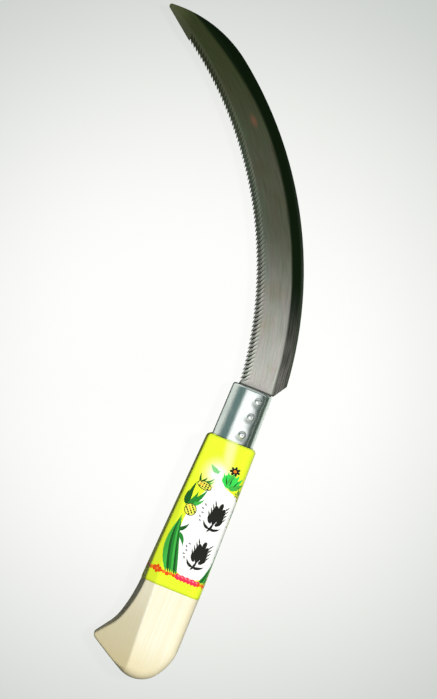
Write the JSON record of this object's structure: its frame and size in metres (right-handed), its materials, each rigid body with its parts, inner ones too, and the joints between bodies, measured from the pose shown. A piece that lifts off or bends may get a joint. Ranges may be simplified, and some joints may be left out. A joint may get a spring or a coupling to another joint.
{
  "type": "hand sickle",
  "caption": "Hand sickle with a saw-toothed crescent blade, riveted through a plated ferrule into a hooked wooden handle with a printed film sleeve.",
  "frame": {"origin": "centre of the ferrule's front face, where the blade leaves the handle, in the middle of the blade's thickness", "axes": "+X along the handle's axis towards the blade, +Y towards the toothed side, +Z square to the blade, on the side that the tooth grooves are milled from"},
  "size_m": [0.367, 0.1448, 0.0294],
  "materials": {
    "blade_steel": "ground along its length, darker towards the tip and on the ground band along the back",
    "plated_steel": "bright plating, drawn and lightly polished",
    "rivet_steel": "plain, with formed heads",
    "pale_wood": "sanded, unvarnished",
    "printed_film": "glossy printed film, yellow with a pale panel and plant motifs"
  },
  "bodies": {
    "root": {"blade": "blade_steel", "ferrule": "plated_steel", "rivets": "rivet_steel", "handle": "pale_wood", "label_sleeve": "printed_film"}
  },
  "joints": []
}
